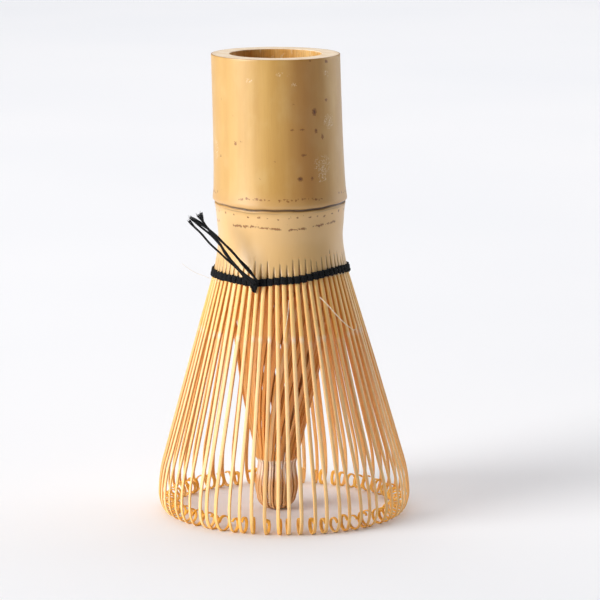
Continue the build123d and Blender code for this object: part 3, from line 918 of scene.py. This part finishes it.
def inner_tine(builder, index, habit):
    """One inner tine, from inside the wall down the twisted core to its small curled tip."""
    core = np.linspace(63.6, 13.2, CORE_ROWS)
    z = np.concatenate([core, np.linspace(12.8, 12.2, 3), np.linspace(11.4, 3.2, 11)])
    settled = smoothstep(60.0, 45.0, z)
    r = smooth_through(INNER_FACE, z) + habit["deep"] * settled * np.interp(z, [5, 14], [0.5, 1.0])
    r = r + habit["bow"] * np.sin(pi * np.clip((z - 8.0) / 50.0, 0, 1))
    azimuth = GAPS[index] - INNER_TWIST * (61.0 - np.clip(z, 12.0, 61.0))
    azimuth = azimuth + habit["stray"] * smoothstep(60.0, 15.0, z)
    hook = habit["hook"] * HOOK_GROWTH
    turn = np.radians(np.linspace(0.0, habit["turn"], 18)[1:])
    r = np.concatenate([r, r[-1] - hook + hook * np.cos(turn)])
    z = np.concatenate([z, z[-1] - hook * np.sin(turn)])
    azimuth = np.concatenate([azimuth, azimuth[-1] + habit["lean"] * turn / turn[-1]])
    heading = np.stack([np.cos(np.radians(azimuth)), np.sin(np.radians(azimuth)), np.zeros(len(z))], axis=1)
    core_x = -np.maximum(INNER_ROOT_Z - z, 0.0) * tan(radians(CORE_LEAN))
    path = heading * r[:, None] + np.stack([axis_x(z) + core_x, np.zeros(len(z)), z], axis=1)
    ahead = np.gradient(path, axis=0)
    ahead /= np.linalg.norm(ahead, axis=1)[:, None]
    tangential = np.stack([-heading[:, 1], heading[:, 0], np.zeros(len(z))], axis=1)
    side = tangential - ahead * np.sum(tangential * ahead, axis=1)[:, None]
    side /= np.linalg.norm(side, axis=1)[:, None]
    face = np.cross(side, ahead)
    length = np.concatenate([[0], np.cumsum(np.linalg.norm(np.diff(path, axis=0), axis=1))])
    width = smooth_through(INNER_WIDTH, z) * habit["width"]
    thickness = np.interp(length, [0, 45, 51, 70], [0.75, 0.5, 0.24, 0.2])
    across = np.array([point[0] for point in INNER_SECTION]) / 2
    depth = np.array([point[1] for point in INNER_SECTION])
    rows = (path[:, None] + side[:, None] * (across[None, :] * width[:, None])[:, :, None]
            - face[:, None] * (depth[None, :] * thickness[:, None])[:, :, None]).reshape(-1, 3)

    def per_row(values):
        return np.repeat(values, len(INNER_SECTION))

    low = np.arange(len(z)) >= CORE_ROWS
    pale = smoothstep(INNER_PALE_Z + 0.2, INNER_PALE_Z - 0.2, z) * low
    across_mm = np.tile(across * 1.2, len(z)) + index * 2.9
    fibre = np.stack([across_mm, np.tile(depth * 0.4, len(z)), per_row(length)], axis=1)
    flesh = np.tile((depth > 0.4).astype(float), len(z))
    builder.add(
        rows, ring_faces(len(z), len(INNER_SECTION)), fibre=fibre,
        flesh=flesh * 0.6 * per_row(1.0 - 0.8 * pale),
        shaved=per_row(pale),
        tip=per_row(smoothstep(9.0, 7.4, z) * low * 0.9),
        tone=per_row(np.full(len(z), habit["tone"])),
        cut=per_row(np.exp(-((z - INNER_PALE_Z + 0.25) / 0.3) ** 2) * low * 0.5),
    )


def make_inner_tines():
    per_group = TINES // INNER_GROUPS
    for group in range(INNER_GROUPS):
        builder = Builder()
        for i in range(per_group):
            habit = {
                "deep": -abs(rng.gauss(0.0, 0.38)),
                "bow": rng.gauss(0.0, 0.2),
                "stray": rng.gauss(0.0, 2.2),
                "hook": rng.uniform(1.3, 2.0),
                "turn": rng.uniform(190.0, 300.0),
                "lean": rng.gauss(0.0, 14.0),
                "width": rng.uniform(0.92, 1.2),
                "tone": min(1.0, max(0.0, rng.gauss(0.5, 0.28))),
            }
            inner_tine(builder, group * per_group + i, habit)
        number = f"{group + 1:02d}"
        piece = builder.piece(f"inner_tine_set_{number}", MATERIALS["core"], sharp=50.0)
        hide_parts(f"inner_tines_{number}")
        hinge = joint_place(f"inner_flex_{number}")
        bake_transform(piece, "root", f"inner_group_{number}",
                 start=(hinge[0], hinge[1], hinge[2] + 1.0 * MM),
                 end=(hinge[0], hinge[1], hinge[2] - 5.0 * MM))


# ---------------------------------------------------------------- thread
def thread_piece(builder, name, node):
    """Ends a length of yarn as one piece that stands in for a node and stays with the culm."""
    piece = builder.piece(name, MATERIALS["thread"], sharp=80.0)
    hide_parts(node)
    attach(piece, "root")


def make_binding():
    """Six rounds of doubled thread. The two strands of a round pass each tine on opposite sides."""
    steps = 10
    turn = np.arange(TINES * steps) / steps
    azimuth = np.interp(turn, np.arange(TINES + 1), EDGES)
    for number in range(THREAD_ROUNDS):
        builder = Builder()
        level = (number - (THREAD_ROUNDS - 1) / 2) * ROUND_PITCH
        for strand in range(2):
            phase = pi * (turn + strand + number)
            side = np.tanh(2.6 * np.sin(phase)) / np.tanh(2.6)
            slack = 0.05 * np.sin(turn * 2.3 + number * 2.0) + 0.04 * np.sin(turn * 5.1 + strand)
            z = band_z(azimuth) + level + 0.1 * np.cos(phase) + slack
            off_middle = TINE_THICKNESS / 2 + THREAD_RADIUS * 0.9 + 0.22 * (side > 0)
            radius = smooth_through(OUTER_FACE, z) - TINE_THICKNESS / 2 + side * off_middle + slack
            x = radius * np.cos(np.radians(azimuth)) + axis_x(z)
            y = radius * np.sin(np.radians(azimuth))
            yarn(builder, np.stack([x, y, z], axis=1), ROUND_RADIUS, 1.0, closed=True)
        thread_piece(builder, f"thread_binding_{number + 1}", f"thread_round_{number + 1}")


def knot_place():
    z = float(band_z(KNOT_AZIMUTH)) - 0.6
    radius = float(smooth_through(OUTER_FACE, z)) + 1.1
    return radial_and_sideways(KNOT_AZIMUTH)[0] * radius + np.array([float(axis_x(z)), 0.0, z])


def make_knot():
    """A pulled-tight overhand knot of doubled thread."""
    builder = Builder()
    centre = knot_place()
    out, across = radial_and_sideways(KNOT_AZIMUTH)
    t = np.linspace(0, 2 * pi, 150)[:-1]
    for scale, tilt in ((0.36, 0.3), (0.3, 1.3), (0.22, 2.4)):
        u = (np.sin(t + tilt) + 2 * np.sin(2 * t + tilt * 2)) * scale
        v = (np.cos(t + tilt) - 2 * np.cos(2 * t + tilt * 2)) * scale
        w = -np.sin(3 * t) * scale * 1.1
        path = centre + np.outer(u, across) * 0.85 + np.outer(v, UP) * 1.35 + np.outer(w, out)
        yarn(builder, path, KNOT_THREAD_RADIUS, 1.05, closed=True)
    thread_piece(builder, "thread_knot_tied", "thread_knot")


def make_tails():
    """The thread's cut end: six strands that cross near their middle and fray at their tips."""
    routes = [
        [(-6.0, -17.3, 58.2), (-9.8, -17.6, 62.6), (-13.7, -16.9, 67.0),
         (-16.5, -16.3, 69.6), (-18.5, -15.8, 71.5), (-19.4, -15.4, 74.2)],
        [(-6.4, -17.5, 57.9), (-11.4, -17.3, 62.2), (-14.9, -16.5, 67.0),
         (-17.4, -16.0, 70.2), (-20.1, -15.3, 73.7)],
        [(-7.2, -17.1, 57.5), (-11.0, -16.9, 61.7), (-13.4, -16.6, 64.4),
         (-15.7, -16.4, 68.1), (-18.1, -15.7, 71.0), (-21.3, -15.1, 72.9)],
        [(-7.6, -16.9, 57.6), (-13.1, -16.7, 63.3), (-16.2, -16.2, 66.0),
         (-18.6, -15.8, 68.6), (-21.0, -15.3, 71.0), (-22.1, -15.0, 72.4)],
        [(-5.9, -17.0, 58.0), (-8.4, -17.3, 61.4), (-10.7, -17.2, 63.9),
         (-14.6, -16.7, 67.8), (-17.3, -16.2, 70.2), (-20.4, -15.6, 72.4)],
        [(-6.8, -17.4, 57.9), (-10.7, -17.0, 61.4), (-12.8, -16.3, 63.8),
         (-15.2, -16.1, 67.2), (-18.9, -15.9, 70.6), (-21.9, -15.5, 73.2)],
    ]
    for number, route in enumerate(routes):
        builder = Builder()
        path = along_curve(route, 120)
        share = np.linspace(0.0, 1.0, len(path))
        wave = 0.07 * np.sin(share * 21.0 + number)[:, None] * np.array([0.7, 0.3, 0.6])
        fray = 1.0 + 1.6 * smoothstep(0.9, 1.0, share)
        taper = 1.0 - 0.3 * smoothstep(0.94, 1.0, share)
        yarn(builder, path + wave, TAIL_RADIUS, 1.1, plies=3, taper=taper, fray=fray)
        wisps = random.Random(40 + number)
        for _ in range(3):
            spans = ((-0.6, 0.2), (-0.4, 0.4), (0.0, 0.6))
            end = path[-1] + np.array([wisps.uniform(low, high) for low, high in spans])
            root = path[int(len(path) * wisps.uniform(0.86, 0.96))]
            middle = (root + end) / 2 + np.array([wisps.uniform(-0.2, 0.2) for _ in range(3)])
            line = along_curve([root, middle, end], 14)
            points, faces = tube(line, np.linspace(0.07, 0.025, 14), 5)
            builder.add(points, faces, fibre=points)
        thread_piece(builder, f"thread_tail_strand_{number + 1}", f"thread_tail_{number + 1}")


def make_loose_fibres():
    """Fine pale fibres that have lifted from the tines."""
    fibres = [
        ("outer_group_14", [(8.4, -17.3, 54.6), (10.6, -17.6, 52.4), (13.0, -17.2, 49.6),
                            (15.2, -16.2, 47.4), (16.6, -15.3, 46.4), (17.1, -14.9, 47.1),
                            (16.9, -14.8, 47.9)], 0.13),
        ("root", [(-15.0, -10.0, 56.9), (-18.6, -9.6, 58.2), (-21.5, -9.4, 59.4),
                  (-24.0, -9.2, 61.2)], 0.045),
        ("outer_group_13", [(1.2, -18.2, 54.0), (0.9, -19.4, 50.2), (0.2, -20.0, 46.4),
                            (-0.2, -20.4, 44.0)], 0.08),
        ("outer_group_06", [(-9.0, 16.9, 52.0), (-11.5, 18.4, 48.0), (-12.2, 19.8, 44.0),
                            (-11.6, 20.6, 42.6)], 0.07),
    ]
    for number, (body, route, radius) in enumerate(fibres):
        builder = Builder()
        line = along_curve(route, 40)
        points, faces = tube(line, radius * (1 - 0.45 * np.linspace(0, 1, 40) ** 2), 6)
        builder.add(points, faces, fibre=points)
        piece = builder.piece(f"loose_fibre_{number + 1}", MATERIALS["fibre"], sharp=80.0)
        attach(piece, body)


# ---------------------------------------------------------------- stage
def make_stage():
    """A pale floor that fills the view, soft light from the front left, and the camera."""
    material, tree, shader = node_tree("pale_floor")
    n = Nodes(tree)
    place = tree.nodes.new("ShaderNodeNewGeometry").outputs["Position"]
    drift = n.noise(place, 3.0, 2.0)
    n.link(n.mix(n.ramp(drift, 0.3, 0.7), "F7F7F9", "F3F4F7"), shader.inputs["Base Color"])
    shader.inputs["Roughness"].default_value = 0.9
    shader.inputs["Specular IOR Level"].default_value = 0.1
    size = 6.0
    mesh = bpy.data.meshes.new("floor")
    corners = [(-size, -size, 0), (size, -size, 0), (size, size, 0), (-size, size, 0)]
    mesh.from_pydata(corners, [], [[0, 1, 2, 3]])
    mesh.materials.append(material)
    floor = bpy.data.objects.new("floor", mesh)
    bpy.context.scene.collection.objects.link(floor)

    world = bpy.data.worlds.new("studio")
    bpy.context.scene.world = world
    world.use_nodes = True
    background = world.node_tree.nodes["Background"]
    background.inputs["Color"].default_value = (0.94, 0.96, 1.0, 1.0)
    background.inputs["Strength"].default_value = 0.04

    add_light("key", (-1.88, -1.0, 0.8), (0.0, 0.0, 0.05), 1.5, 23.0, 100.0, (1.0, 0.985, 0.965))
    add_light("overhead", (0.0, 0.85, 1.9), (0.0, 0.85, 0.0), 2.2, 33.0, 180.0, (0.98, 0.98, 1.0))
    add_light("far", (0.0, 1.75, 0.9), (0.0, 1.7, 0.0), 1.0, 2.0, 150.0, (0.98, 0.99, 1.0))
    add_light("right_back", (1.7, 1.0, 0.4), (0.0, 0.0, 0.06), 1.4, 5.5, 120.0, (1.0, 0.98, 0.95))

    camera = bpy.data.cameras.new("camera")
    camera.lens = 215.6
    camera.sensor_width = 36.0
    camera.clip_start = 0.01
    placed = bpy.data.objects.new("camera", camera)
    placed.location = (3.79 * MM, -845.6 * MM, 198.2 * MM)
    placed.rotation_euler = (radians(90.0 - 9.883), 0.0, 0.0)
    bpy.context.scene.collection.objects.link(placed)
    bpy.context.scene.camera = placed
    bpy.context.scene.view_settings.view_transform = "Standard"


def add_light(name, location, target, size, power, spread, tint):
    light = bpy.data.lights.new(name, "AREA")
    light.shape = "SQUARE"
    light.size = size
    light.energy = power
    light.spread = radians(spread)
    light.color = tint
    placed = bpy.data.objects.new(name, light)
    placed.location = location
    placed.rotation_euler = (Vector(target) - Vector(location)).to_track_quat("-Z", "Y").to_euler()
    bpy.context.scene.collection.objects.link(placed)


MATERIALS = {
    "tine": tine_bamboo("split_bamboo", "FAC472", "FDD490", "E89A34", "FAD09A", "F8BA32"),
    "core": tine_bamboo("core_bamboo", "F4B468", "FAC67C", "DC9040", "FFEAD8", "E6AC6C"),
    "thread": thread_cotton(),
    "fibre": loose_fibre(),
}

make_stage()
culm = make_culm()
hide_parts("handle")
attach(culm, "root")
make_outer_tines()
make_inner_tines()
make_binding()
make_knot()
make_tails()
make_loose_fibres()
